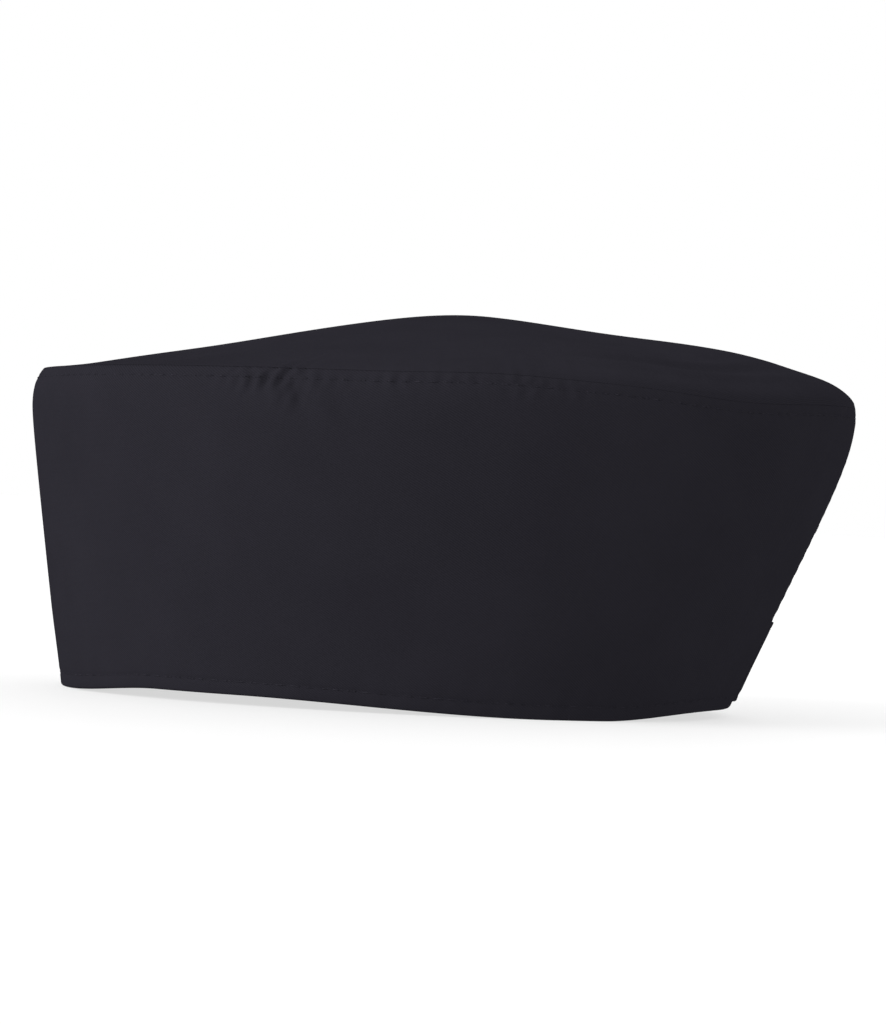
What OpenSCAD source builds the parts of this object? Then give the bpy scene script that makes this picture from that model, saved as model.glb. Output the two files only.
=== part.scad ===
// Low chef's toque: a flared double-layer side band, a soft domed crown and an
// adjustable touch-and-close strap across a vent slit at the back.
// The wearer faces -Y, +X is the wearer's left, and the hem rests on z = 0.

/* [Head opening] */
// Outside length of the hem, front to back
hem_length = 203; // [195:0.5:212]
// Outside width of the hem, side to side
hem_width = 168; // [160:1:176]

/* [Side band] */
// Height of the band from hem to crown seam
band_height = 95.3; // [85:0.1:105]
// How far the band leans out on every side between hem and crown seam
band_flare = 27; // [20:0.5:32]
// How far the crown seam sits behind the hem
band_lean = 12.6; // [8:0.1:16]
// Extra height of the crown seam at the two sides
side_rise = 0.9; // [0:0.1:3]

/* [Crown] */
// Height of the crown's peak above its seam
crown_rise = 22.3; // [15:0.1:30]
// Place of the peak along Y
crown_peak_y = 7; // [0:0.5:15]
// Width of the seam allowance that is folded down inside the band
seam_allowance = 9; // [6:1:12]

/* [Cloth] */
// Thickness of the twill
twill = 0.6; // [0.5:0.05:0.7]
// Thickness of the stiff interlining between the two band layers
interlining = 0.45; // [0.3:0.05:0.5]
// Thickness of the sweatband
sweatband_thick = 1.2; // [0.8:0.1:1.4]
// Width of the sewing thread as it lies on the cloth
thread = 0.42; // [0.3:0.02:0.5]

/* [Back closure] */
// Width of the vent slit at the hem
slit_width = 7; // [5:0.5:8]
// Height of the vent slit
slit_height = 56; // [45:1:65]
// Angle that the strap spans round the hat, from its root to its tip
strap_span = 42; // [40:1:46]
// Height of the strap
strap_height = 26; // [22:1:28]
// Thickness of each of the strap's two layers
strap_ply = 0.5; // [0.4:0.05:0.6]
// Thickness of the hook tape and of the loop tape
tape_thick = 0.9; // [0.7:0.1:1.1]

/* [Labels] */
// Width of the care label, as an angle round the hat
care_label_span = 15; // [12:1:18]
// Drop of the care label
care_label_drop = 42; // [30:1:45]

/* [Hidden] */

back = 90;                      // angle of the hat's back, measured from +X
hem_y = -11.0;                  // centre of the hem oval, which puts the widest part of the hat on y = 0
mm_per_deg = hem_width / 2 * PI / 180; // length of one degree of the hem at the back
around = 80;                    // steps round a full ring
patch_step = 2.4;               // longest step round a small patch, in degrees
hair = 0.08;                    // gap kept between cloths that lie on each other
seam_gap = 0.2;                 // gap between the band's two sewn ends
thread_high = 0.22;             // how far the thread stands off the cloth, pressed flat
clear = 0.3;                    // gap kept between the band's side and the strap's side
tuck_depth = 5.2;               // how far the band's top edge turns in to the crown seam
peak_round = 0.14;              // roundness of the crown's peak

// Depths of the layers below the band's outer face
lining_out = -(twill + hair);
lining_in = lining_out - interlining;
facing_out = lining_in - hair;
facing_in = facing_out - twill;
allowance_out = facing_in - 0.15;
allowance_in = allowance_out - twill;
binding_out = allowance_in - hair;
binding_in = binding_out - 0.5;
sweat_out = facing_in - 0.2;
sweat_in = sweat_out - sweatband_thick;

// Heights of the bands of trim inside and outside
sweat_z = [3, 32];
binding_drop = 12;
hem_stitch_z = 4;
strap_z = 2;
loop_z = [5, 25];
hook_z = [8.5, 21.5];

// Places of the closure round the back, in degrees
slit_angle = slit_width / 2 / mm_per_deg;
root_angle = back - slit_angle + 0.3;
loop_angles = [back + 13, back + 54];
hook_angles = [back + 15.5, root_angle + strap_span - 2];

// Depths of the tapes and of the strap's underside: in the slit, on the band and on the tapes
loop_out = hair + tape_thick;
hook_in = loop_out + clear;
hook_out = hook_in + tape_thick;
strap_depths = [-1.5, hair + thread_high + clear, hook_out + hair];
strap_climbs = [[root_angle, root_angle + 2.7], [back + 5.5, back + 12.5]];
strap_corner = 9;               // radius of the strap's free corners

// ---- The band's surface ------------------------------------------------------

function smooth(x) = let (c = max(0, min(1, x))) c * c * (3 - 2 * c);
function sum(list) = list * [for (x = list) 1];
function seam_z(u) = band_height + side_rise * pow(cos(u), 2);

// How far the band's top turns in: late and tight at the front, early and round at the back
function tuck(u, t) = (tuck_depth + 0.7 * sin(u)) * pow(max(0, t), 14.6 - 5.8 * sin(u));

// Point at angle u and height share t, at depth d outside the band's outer face (negative: inside it)
function wall(u, t, d = 0) =
    let (a = hem_length / 2 + band_flare * t,
         b = hem_width / 2 + band_flare * t,
         n = [cos(u) / b, sin(u) / a] / norm([cos(u) / b, sin(u) / a]),
         off = d - tuck(u, t))
    [b * cos(u) + off * n.x,
     hem_y + band_lean * t + a * sin(u) + off * n.y,
     t * seam_z(u)];

// Half the gap between the band's two ends, in degrees: the slit, then the sewn back seam
function end_gap(t) =
    let (open = max(0, 1 - t * band_height / slit_height))
    (seam_gap / 2 + (slit_width - seam_gap) / 2 * pow(open, 0.6)) / mm_per_deg;

// Angle at share w of the way round the band, from one end to the other
function round_band(w, t) = let (g = end_gap(t)) back + g + w * (360 - 2 * g);

// ---- The crown's surface -----------------------------------------------------

// Height above the seam: a slope from the rounded peak, steeper at the front, that ends in a round shoulder
function crown_height(u, r) =
    let (fall = (17.25 - 4.9 * sin(u)) / (sqrt(1 + pow(peak_round, 2)) - peak_round))
    (crown_rise - fall * (sqrt(r * r + pow(peak_round, 2)) - peak_round))
        * sqrt(max(0, 1 - pow(r, 6.6 + 0.45 * sin(u))));

// Point at angle u and share r of the way from the peak to the seam, where inset draws it in
function crown(u, r, inset, drop) =
    let (edge = wall(u, 1, -inset))
    [r * edge.x, crown_peak_y + r * (edge.y - crown_peak_y),
     band_height + (seam_z(u) - band_height) * r * r
        + max(drop > 0 ? 2 * hair : 0, crown_height(u, r) - drop) + hair];

// ---- Solids made from grids of points ----------------------------------------

function quad(a, b, c, d) = [[a, b, c], [a, c, d]];

// A sheet between two skins. points[k][i][j]: k = 0 inner, 1 outer skin; i runs
// anticlockwise round the hat and j runs up. A closed sheet joins its last column to its first.
module sheet(points, closed = false) {
    columns = len(points[0]);
    rows = len(points[0][0]);
    steps = closed ? columns : columns - 1;
    at = function (k, i, j) (k * columns + i % columns) * rows + j;
    faces = [
        for (i = [0:steps - 1], j = [0:rows - 2]) each concat(
            quad(at(1, i, j), at(1, i, j + 1), at(1, i + 1, j + 1), at(1, i + 1, j)),
            quad(at(0, i, j), at(0, i + 1, j), at(0, i + 1, j + 1), at(0, i, j + 1))),
        for (i = [0:steps - 1]) each concat(
            quad(at(1, i, 0), at(1, i + 1, 0), at(0, i + 1, 0), at(0, i, 0)),
            quad(at(1, i + 1, rows - 1), at(1, i, rows - 1), at(0, i, rows - 1), at(0, i + 1, rows - 1))),
        if (!closed) for (j = [0:rows - 2]) each concat(
            quad(at(1, 0, j + 1), at(1, 0, j), at(0, 0, j), at(0, 0, j + 1)),
            quad(at(1, steps, j), at(1, steps, j + 1), at(0, steps, j + 1), at(0, steps, j))),
    ];
    polyhedron([for (skin = points) for (column = skin) each column], faces, convexity = 8);
}

// A solid whose rings run from a top point to a bottom point, round the Z axis
module rings(top, loops, bottom) {
    n = len(loops[0]);
    last = len(loops) - 1;
    at = function (r, i) 1 + r * n + i % n;
    faces = [
        for (i = [0:n - 1]) [0, at(0, i + 1), at(0, i)],
        for (r = [0:last - 1], i = [0:n - 1])
            each quad(at(r, i), at(r, i + 1), at(r + 1, i + 1), at(r + 1, i)),
        for (i = [0:n - 1]) [1 + (last + 1) * n, at(last, i), at(last, i + 1)],
    ];
    polyhedron(concat([top], [for (l = loops) each l], [bottom]), faces, convexity = 8);
}

function share(n) = [for (i = [0:n]) i / n];
function spread(ends, n) = [for (s = share(n)) ends[0] + s * (ends[1] - ends[0])];

// Heights of the two edges of a row of sewing
function row_at(z) = [z, z + thread];

// A layer of the band between depths d_in and d_out, over the height shares ts
module band_layer(d_in, d_out, ts, trim = 0) {
    ws = [trim, for (w = share(around)) if (w > trim && w < 1 - trim) w, 1 - trim];
    sheet([for (d = [d_in, d_out]) [for (w = ws) [for (t = ts) wall(round_band(w, t), t, d)]]]);
}

// A strip right round the hat, over the height shares ts
module ring_layer(d_in, d_out, ts) {
    us = [for (i = [0:around - 1]) back + 360 * i / around];
    sheet([for (d = [d_in, d_out]) [for (u = us) [for (t = ts) wall(u, t, d)]]], closed = true);
}

// A patch on the band between two angles and two heights
module patch(angles, zs, d_in, d_out) {
    us = spread(angles, ceil((angles[1] - angles[0]) / patch_step));
    sheet([for (d = [d_in, d_out]) [for (u = us) [for (z = zs) wall(u, z / seam_z(u), d)]]]);
}

// A box-shaped row of sewing round a patch
module box_stitch(angles, zs, d) {
    side = thread / mm_per_deg;
    for (z = zs) patch([angles[0] + 2 * side, angles[1] - 2 * side], row_at(z), d, d + thread_high);
    for (u = angles) patch([u - side / 2, u + side / 2], [zs[0], zs[1] + thread], d, d + thread_high);
}

// Height shares of the rows of points, which all the layers at the seam have in common
binding_t = 1 - binding_drop / band_height;
fold_t = 1 - seam_allowance / band_height;
fold_rows = [fold_t, 0.935, 0.96, 0.98, 1];
band_rows = concat([0, 0.15, 0.3, 0.45, 0.6, 0.75, binding_t], fold_rows);
binding_rows = [for (t = band_rows) if (t >= binding_t && t < 1) t];

// ---- Crown and band ----------------------------------------------------------

module crown_panel() {
    us = [for (i = [0:around - 1]) back + 360 * i / around];
    top_shares = [0.1, 0.25, 0.4, 0.55, 0.68, 0.79, 0.87, 0.92, 0.955, 0.978, 0.993, 1];
    under_shares = [0.955, 0.92, 0.87, 0.79, 0.68, 0.55, 0.4, 0.25, 0.1];
    top = [for (r = top_shares) [for (u = us) crown(u, r, hair, 0)]];
    lip = [for (u = us) let (p = wall(u, 1, allowance_out)) [p.x, p.y, p.z + hair]];
    rows_up = [for (t = fold_rows) if (t < 1) t];
    rows_down = [for (i = [len(rows_up) - 1:-1:0]) rows_up[i]];
    outside = [for (t = rows_down) [for (u = us) wall(u, t, allowance_out)]];
    back_up = [for (t = rows_up) [for (u = us) wall(u, t, allowance_in)]];
    inside = [for (u = us) let (p = wall(u, 1, allowance_in)) [p.x, p.y, p.z + 2 * hair]];
    under = [for (r = under_shares) [for (u = us) crown(u, r, 0.7, twill)]];
    peak = [0, crown_peak_y, seam_z(back) + crown_rise + hair];
    color("#2b2b30")
        rings(peak, concat(top, [lip], outside, back_up, [inside], under), peak - [0, 0, twill]);
}

module outer_band() color("#29292e") band_layer(-twill, 0, band_rows);

module band_interlining() color("#d8d8d2")
    band_layer(lining_in, lining_out, [for (t = band_rows) if (t > 0) t], 0.003);

module band_facing() color("#2e2e33") band_layer(facing_in, facing_out, band_rows);

module sweatband() color("#1f1f23")
    band_layer(sweat_in, sweat_out, [for (z = spread(sweat_z, 3)) z / band_height], 0.012);

module crown_seam_binding() color("#26262a") ring_layer(binding_in, binding_out, binding_rows);

// ---- Sewing ------------------------------------------------------------------

module crown_topstitch() color("#3a3a40")
    ring_layer(hair, hair + thread_high, [for (z = row_at(band_height - 2.8)) z / band_height]);

module hem_topstitch() color("#3a3a40")
    band_layer(hair, hair + thread_high, [for (z = row_at(hem_stitch_z)) z / band_height], 0.009);

module sweatband_stitch() color("#3a3a40")
    for (z = [sweat_z[0] + 1.5, sweat_z[1] - 2])
        band_layer(sweat_in - hair - thread_high, sweat_in - hair,
                   [for (h = row_at(z)) h / band_height], 0.014);

module binding_stitch() color("#3a3a40")
    ring_layer(binding_in - hair - thread_high, binding_in - hair,
               [for (z = row_at(band_height - binding_drop + 1.2)) z / band_height]);

// Two rows, one each side of the sewn back seam
module back_seam_topstitch() color("#3a3a40")
    for (side = [-1, 1]) {
        u = back + side * 1.6;
        patch([u - 0.15, u + 0.15], [slit_height + 5, 70, 80, 88], hair, hair + thread_high);
    }

// One row along each edge of the slit, above the strap on the side that the strap covers
module slit_topstitch() color("#3a3a40")
    for (side = [0, 1]) {
        from = side == 0 ? strap_z + strap_height + 1 : hem_stitch_z + 1.5;
        ts = [for (z = [from, 20, 36, 42, 49, 53]) if (z >= from) z / band_height];
        inset = [0.0088, 0.0078];
        sheet([for (d = [hair, hair + thread_high])
            [for (w = side == 0 ? [inset[1], inset[0]] : [1 - inset[0], 1 - inset[1]])
                [for (t = ts) wall(round_band(w, t), t, d)]]]);
    }

module slit_bartack() color("#3a3a40")
    patch([back - 2.6, back + 2.6], [slit_height + 0.8, slit_height + 3.2], hair, hair + 0.8);

// Two bars that hold the strap's root between the band's two layers
module strap_bartacks() color("#3a3a40")
    for (z = [8, 21])
        patch([back - slit_angle - 1.7, back - slit_angle - 0.3], [z, z + 1.2], hair, hair + 0.6);

// ---- Back closure ------------------------------------------------------------

module loop_tape() color("#1c1c1f") patch(loop_angles, loop_z, hair, loop_out);

module loop_tape_stitch() color("#3a3a40")
    box_stitch(loop_angles + [1, -1], loop_z + [1.2, -1.6], loop_out + 0.04);

// Underside of the strap, which starts inside the slit and climbs on to the hook tape
function strap_under(u) = strap_depths[0] + sum([for (k = [0, 1])
    (strap_depths[k + 1] - strap_depths[k])
        * smooth((u - strap_climbs[k][0]) / (strap_climbs[k][1] - strap_climbs[k][0]))]);

// Half the strap's height at angle u, with rounded free corners
function strap_half(u) =
    let (left = (root_angle + strap_span - u) * mm_per_deg,
         into = max(0, 1 - left / strap_corner))
    strap_height / 2 - strap_corner * (1 - sqrt(max(0, 1 - into * into)));

function strap_start(t) = back - end_gap(t) + 0.3;

// A layer of the strap from share 0 to 1 of its length, over shares vs of its height
module strap_layer(low, high, us, vs) {
    middle = strap_z + strap_height / 2;
    sheet([for (k = [low, high]) [for (s = us) [for (v = vs)
        let (u_flat = root_angle + s * strap_span,
             t = (middle + v * strap_half(u_flat)) / seam_z(u_flat),
             u = u_flat + (1 - s) * (strap_start(t) - root_angle))
        wall(u, t, strap_under(u_flat) + k)]]]);
}

strap_thick = 2 * strap_ply + hair;
strap_steps = concat([for (i = [0:16]) i / 20], [0.84, 0.88, 0.92, 0.96, 0.985]);
strap_rows = [-1, -0.5, 0, 0.5, 1];

module strap_outer() color("#2a2a2f") strap_layer(strap_ply + hair, strap_thick, strap_steps, strap_rows);
module strap_facing() color("#2a2a2f") strap_layer(0, strap_ply, strap_steps, strap_rows);
module hook_tape() color("#151517") patch(hook_angles, hook_z, hook_in, hook_out);

module strap_edge_stitch() color("#3a3a40")
    for (v = [-0.82, 0.79])
        strap_layer(strap_thick + hair, strap_thick + hair + thread_high, spread([0.05, 0.9], 17),
                    [v, v + 0.03]);

module hook_tape_stitch() color("#3a3a40")
    box_stitch(hook_angles + [1, -3], hook_z + [1, -1.4], strap_depths[2] + strap_thick + hair);

// ---- Labels, sewn at their top edges just below the seam binding --------------

label_top = band_height - binding_drop - 1.5;
label_depth = facing_in - 0.25;
care_label_angles = [back + 18, back + 18 + care_label_span];

label_rows = [for (drop = [care_label_drop, 28, 21, 14, 7, 0]) label_top - drop];

module care_label() color("#e8e8e6") patch(care_label_angles, label_rows, label_depth - 0.5, label_depth);

module size_label() color("#e8e8e6")
    patch(care_label_angles + [4, -4], [for (z = label_rows) if (z >= label_top - 14) z],
          label_depth - 1, label_depth - 0.65);

module label_stitch() color("#3a3a40")
    patch(care_label_angles + [0.5, -0.5], row_at(label_top - 1.4), label_depth - 1.35, label_depth - 1.1);

crown_panel();
outer_band();
band_interlining();
band_facing();
sweatband();
crown_seam_binding();
crown_topstitch();
hem_topstitch();
sweatband_stitch();
binding_stitch();
back_seam_topstitch();
slit_topstitch();
slit_bartack();
strap_bartacks();
loop_tape();
loop_tape_stitch();
strap_outer();
strap_facing();
hook_tape();
strap_edge_stitch();
hook_tape_stitch();
care_label();
size_label();
label_stitch();
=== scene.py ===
"""Looks for the low chef's toque: soft cloth, stitches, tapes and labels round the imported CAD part.

Shape functions work in millimetres and radians, in the CAD frame. add_mesh() turns them into metres.
The angle u runs anticlockwise round the hat from +X, so pi / 2 is the back of the hat. The share t runs
up the band, from 0 at the hem to 1 at the crown seam. A depth is measured off the band's outer face, and is
negative inside.
"""
import math

import bpy
import numpy as np
from mathutils import Matrix, Vector


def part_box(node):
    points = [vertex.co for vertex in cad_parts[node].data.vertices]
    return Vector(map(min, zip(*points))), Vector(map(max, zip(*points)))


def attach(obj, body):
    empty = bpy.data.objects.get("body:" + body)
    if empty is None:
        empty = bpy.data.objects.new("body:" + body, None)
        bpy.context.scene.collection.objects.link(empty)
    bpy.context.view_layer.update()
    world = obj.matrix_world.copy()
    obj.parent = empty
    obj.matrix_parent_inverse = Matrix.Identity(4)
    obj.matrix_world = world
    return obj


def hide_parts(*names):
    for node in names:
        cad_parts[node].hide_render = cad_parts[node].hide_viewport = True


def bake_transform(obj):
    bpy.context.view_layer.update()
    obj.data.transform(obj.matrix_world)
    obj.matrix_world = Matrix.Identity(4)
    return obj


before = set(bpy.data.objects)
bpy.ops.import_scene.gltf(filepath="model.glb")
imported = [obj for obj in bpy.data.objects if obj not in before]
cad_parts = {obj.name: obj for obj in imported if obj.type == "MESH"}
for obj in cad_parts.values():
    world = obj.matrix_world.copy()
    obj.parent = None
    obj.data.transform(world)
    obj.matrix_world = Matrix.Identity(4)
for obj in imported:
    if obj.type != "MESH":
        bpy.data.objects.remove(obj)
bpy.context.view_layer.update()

# ---- Driving dimensions, in millimetres -------------------------------------

MM = 0.001
BACK = math.pi / 2


def box_mm(node):
    """Lowest and highest corner of a CAD node."""
    low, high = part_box(node)
    return np.array(low) / MM, np.array(high) / MM


HEM_LENGTH, HEM_WIDTH = 203.0, 168.0  # the hem's oval, outside the cloth
HEM_Y = -11.0  # the middle of that oval
FLARE = 27.0  # the top edge stands this much further out than the hem
LEAN = 12.6  # and its middle lies this much further back
SEAM_ROW_DROP = 2.8  # the row of stitches lies this far below the crown seam
BAND_HEIGHT = box_mm("crown_topstitch")[0][2] + SEAM_ROW_DROP
SIDE_RISE = box_mm("outer_band")[1][2] - BAND_HEIGHT
CROWN_RISE = box_mm("crown_panel")[1][2] - BAND_HEIGHT
PEAK_Y = 7.0
SLIT_WIDTH, SLIT_HEIGHT = 7.0, 56.0
SEWN_GAP = 0.1  # half the gap between the band's ends above the slit
CLOTH = 0.6
FOLD_RADIUS = 0.9
MM_PER_RADIAN = HEM_WIDTH / 2  # along the band at its back, for one radian

# Millimetres of weave for one radian: on the band, on the sweatband and labels, and on the binding
BAND_WEAVE, INNER_WEAVE, TOP_WEAVE = 104, 100, 115

# Depths of each layer's inner and outer face
LINING = (-1.81, -1.21)
INTERLINING = (-1.1, -0.7)
ALLOWANCE = (-2.56, -1.96)
BINDING = (-3.14, -2.64)
SWEATBAND = (-3.21, -2.01)

SWEATBAND_Z = (3.0, 32.0)
BINDING_SHARES = (0.879, 0.98)
ALLOWANCE_HEIGHT = 9
HEM_STITCH_Z = 4.2
STITCH_PITCH = 4.1
INNER_PITCH = 3.4  # stitches of the sweatband and the binding
SMALL_PITCH = 2.6  # stitches of the tapes and the labels
THREAD, BAR_THREAD = 0.19, 0.16  # radius of the sewing thread, and of the bartacks' thread


# ---- Shape of the band and crown --------------------------------------------

SEAM_CREST, SEAM_SAG = 0.9, 2.4
HEM_LIFT = 2.8
SOFT_HEIGHT = 0.5
GATHER_HEIGHT = 0.4
ROW_DEPTH = 0.16
HEM_ROW_DEPTH, HEM_PUCKER = 0.2, 0.08
DENT_DEPTH, CREASE_HEIGHT = 1.15, 0.75
DENT_ANGLE = -0.39  # of one deep fold below the seam, near the front of the left side
CREASE_STEP = 0.055  # from the dent to the crease behind it
FOLD_SLANT = 0.006  # both slant back by this angle for each millimetre down
CROWN_RADIUS = 115
DOME_ROUNDNESS = 0.14


def smooth(x):
    """Soft step, from 0 at x = 0 to 1 at x = 1."""
    x = np.clip(x, 0, 1)
    return x * x * (3 - 2 * x)


def hill(x, centre, width):
    """Bell curve, 1 high at its centre."""
    return np.exp(-(((x - centre) / width) ** 2))


def angle_from(u, centre):
    """Angle from centre to u, the short way round."""
    return (u - centre + math.pi) % (2 * math.pi) - math.pi


def seam_z(u):
    """Height of the crown seam: a little high at the widest part, and sagging beside the back."""
    s = np.sin(u)
    level = BAND_HEIGHT + SIDE_RISE * np.cos(u) ** 2
    return level + SEAM_CREST * hill(s, 0.1, 0.18) - SEAM_SAG * hill(s, 0.69, 0.21)


def tuck(u, t):
    """How far the band's top edge turns in to the crown seam."""
    depth = 5.2 + 0.7 * np.sin(u)
    sharpness = 14.6 - 5.8 * np.sin(u)
    return depth * np.maximum(t, 0) ** sharpness


def hem_lift(u):
    """The hem stands on its front tip and on two places near the back, and lifts a little between them."""
    s = np.sin(u)
    front = HEM_LIFT * smooth((s + 1) / 0.32) * (1 - smooth((s + 0.45) / 0.9))
    back = HEM_LIFT * smooth((s - 0.6) / 0.35)
    return front + back


def waves(count, low, high, seed):
    """Seeded sine waves, low to high of them round the hat, each with its own slope, phase and size."""
    r = np.random.RandomState(seed)
    n = r.randint(low, high + 1, count)
    return list(zip(n, r.uniform(-0.06, 0.06, count), r.uniform(0, 2 * math.pi, count),
                    r.uniform(0.5, 1.0, count)))


def ripple(u, z, wave_list):
    """Sum of the waves at angle u and height z, mostly between -1 and 1."""
    total = sum(a * np.sin(n * u + k * n * 0.2 * z + p) for n, k, p, a in wave_list)
    return total / math.sqrt(len(wave_list) / 2)


SOFT_WAVES = waves(5, 3, 9, 11)
PUCKER_WAVES = waves(8, 105, 190, 23)
PUCKER_PLACES = waves(5, 7, 24, 37)
HEM_WAVES = waves(5, 50, 90, 41)


def pucker_strength(u):
    """The seam gathers the cloth unevenly: most in three places on the front half of each side."""
    s = np.sin(u)
    even = 0.22
    gathered = even + 0.75 * hill(s, -0.48, 0.08) + 1.1 * hill(s, -0.32, 0.1) + 0.8 * hill(s, -0.04, 0.14)
    return gathered * (0.75 + 0.5 * ripple(u, 0, PUCKER_PLACES))


def band_relief(u, t):
    """How far the cloth stands off the plain wall: soft waves, puckers, one fold and the rows' grooves."""
    z = t * seam_z(u)
    below = seam_z(u) - z
    soft = SOFT_HEIGHT * ripple(u, z * 0.4, SOFT_WAVES) * smooth(z / 25) * smooth(below / 12)
    reach = 3.1 + 3.4 * hill(np.sin(u), -0.3, 0.12)
    gather = GATHER_HEIGHT * pucker_strength(u) * ripple(u, z * 0.3, PUCKER_WAVES) * hill(below, 2.4, reach)
    row_width, pucker_width = 0.8, 5
    row = -ROW_DEPTH * hill(below, SEAM_ROW_DROP, row_width)
    hem_row = (-HEM_ROW_DEPTH * hill(z, HEM_STITCH_Z, row_width)
               + HEM_PUCKER * ripple(u, 0, HEM_WAVES) * hill(z, HEM_STITCH_Z, pucker_width))
    dent_at = DENT_ANGLE + FOLD_SLANT * below
    crease_at = DENT_ANGLE + CREASE_STEP + FOLD_SLANT * below
    dent = -DENT_DEPTH * hill(angle_from(u, dent_at), 0, 0.022) * hill(below, 6, 5.5)
    crease = CREASE_HEIGHT * hill(angle_from(u, crease_at), 0, 0.026) * hill(below, 7.5, 5.5)
    return soft + gather + row + hem_row + dent + crease


def band(u, t, depth=0.0):
    """Points of the band at angle u and height share t, at a depth off its outer face."""
    u, t = np.broadcast_arrays(np.asarray(u, float), np.asarray(t, float))
    a = HEM_LENGTH / 2 + FLARE * t
    b = HEM_WIDTH / 2 + FLARE * t
    nx, ny = np.cos(u) / b, np.sin(u) / a
    size = np.hypot(nx, ny)
    off = depth - tuck(u, t) + band_relief(u, t)
    z = t * seam_z(u) + hem_lift(u) * (1 - t) ** 2
    return np.stack([b * np.cos(u) + off * nx / size,
                     HEM_Y + LEAN * t + a * np.sin(u) + off * ny / size, z], -1)


def end_gap(t):
    """Angle from the hat's back to the band's end: half the slit, and above it the sewn back seam."""
    open_share = np.maximum(0, 1 - t * BAND_HEIGHT / SLIT_HEIGHT)
    return (SEWN_GAP + (SLIT_WIDTH / 2 - SEWN_GAP) * open_share ** 1.4) / MM_PER_RADIAN


def round_band(w, t):
    """Angle at share w of the way round, from one end of the band to the other."""
    gap = end_gap(t)
    return BACK + gap + w * (2 * math.pi - 2 * gap)


RIM_WAVES = waves(7, 46, 84, 61)


def crown_relief(u, r, x, y):
    """Soft folds of the crown: slow swells, gathers at the seam, and folds and a ridge low at the back."""
    from_rim = (1 - r) * CROWN_RADIUS
    swell = np.sin(x / 13 + 0.6 + 0.8 * np.sin(y / 21)) + np.sin(y / 17 + x / 31 + 2.1)
    swell = 0.6 * swell * smooth((1 - r) * 3.2) * (1 - 0.6 * hill(x, 0, 9)) - 0.55 * hill(y, -45, 48)
    gather = 0.3 * ripple(u, 0, RIM_WAVES) * (0.25 + 0.5 * pucker_strength(u)) * hill(from_rim, 5, 6)
    low_back = smooth(0.5 + 2 * np.sin(u)) * hill(np.abs(np.cos(u)), 0.75, 0.3)
    long_folds = 0.8 * low_back * np.sin(from_rim / 1.9 + 2.2 * np.sin(2 * u)) * hill(from_rim, 17, 11)
    back_ridge = 0.7 * hill(angle_from(u, BACK), 0, 0.4) * hill(from_rim, 7, 7)
    return swell + gather + long_folds + back_ridge


def crown(u, r, inset=0.0, drop=0.0):
    """Points of the crown at angle u and share r of the way from its peak to the seam.

    inset moves the rim in, and drop lowers the cloth, for its under side.
    """
    u, r = np.broadcast_arrays(np.asarray(u, float), np.asarray(r, float))
    edge = band(u, np.ones_like(u), 0) - inset * edge_normal(u)
    x, y = r * edge[..., 0], PEAK_Y + r * (edge[..., 1] - PEAK_Y)
    fall = (17.25 - 4.9 * np.sin(u)) / (math.hypot(1, DOME_ROUNDNESS) - DOME_ROUNDNESS)
    height = CROWN_RISE - fall * (np.hypot(r, DOME_ROUNDNESS) - DOME_ROUNDNESS)
    rim_sharpness, relief_sharpness = 6.6 + 0.45 * np.sin(u), 14
    height = height * np.sqrt(np.maximum(0, 1 - r ** rim_sharpness))
    height = height + crown_relief(u, r, x, y) * np.sqrt(np.maximum(0, 1 - r ** relief_sharpness))
    least = 0.05 if drop == 0 else -0.1
    z = BAND_HEIGHT + (seam_z(u) - BAND_HEIGHT) * r * r + np.maximum(height - drop, least)
    return np.stack([x, y, z], -1)


def unrolled(u, r, extra=0.0):
    """Place of a crown point on the flat cloth, in metres, from its direction and its way along the cloth.

    extra is how much further it lies, in millimetres, past the seam.
    """
    steps = np.linspace(0, 1, 60)
    walk = crown(u[:, None], r[:, None] * steps[None, :])
    way = np.linalg.norm(np.diff(walk, axis=1), axis=-1).sum(1) + extra
    heading = band(u, np.ones_like(u), 0)[:, :2] - [0, PEAK_Y]
    heading /= np.linalg.norm(heading, axis=-1, keepdims=True)
    return heading * way[:, None] * MM


def edge_normal(u):
    """Outward level normal of the crown seam."""
    a, b = HEM_LENGTH / 2 + FLARE, HEM_WIDTH / 2 + FLARE
    nx, ny = np.cos(u) / b, np.sin(u) / a
    size = np.hypot(nx, ny)
    return np.stack([nx / size, ny / size, np.zeros_like(nx)], -1)


# ---- Making meshes ----------------------------------------------------------

SHARP_ANGLE = math.radians(70)  # two faces that meet at more than this are shaded with a crisp edge


def add_mesh(name, points, faces, weave, replaces, body="hat"):
    """A smooth-shaded mesh from points in millimetres, which rides on a body unless that is None.

    weave is each point's place on its flat cloth, in metres, or None.
    """
    mesh = bpy.data.meshes.new(name)
    mesh.from_pydata((np.asarray(points) * MM).tolist(), [], [list(f) for f in faces])
    if weave is not None:
        corner = np.zeros(len(mesh.loops), np.int32)
        mesh.loops.foreach_get("vertex_index", corner)
        layer = mesh.uv_layers.new(name="weave")
        layer.data.foreach_set("uv", np.asarray(weave, np.float32)[corner].ravel())
    mesh.shade_smooth()
    mesh.set_sharp_from_angle(angle=SHARP_ANGLE)
    piece = bpy.data.objects.new(name, mesh)
    bpy.context.scene.collection.objects.link(piece)
    if replaces:
        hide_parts(*replaces)
    if body:
        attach(piece, body)
    return piece


def strip_faces(columns, rows, start=0, closed=False, flip=False):
    """Quads of a grid whose points are numbered up each column, from start."""
    steps = columns if closed else columns - 1
    i, j = np.meshgrid(np.arange(steps), np.arange(rows - 1), indexing="ij")
    a = i * rows + j
    b = (i + 1) % columns * rows + j
    quads = np.stack([a, b, b + 1, a + 1], -1).reshape(-1, 4) + start
    return quads[:, ::-1] if flip else quads


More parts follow.
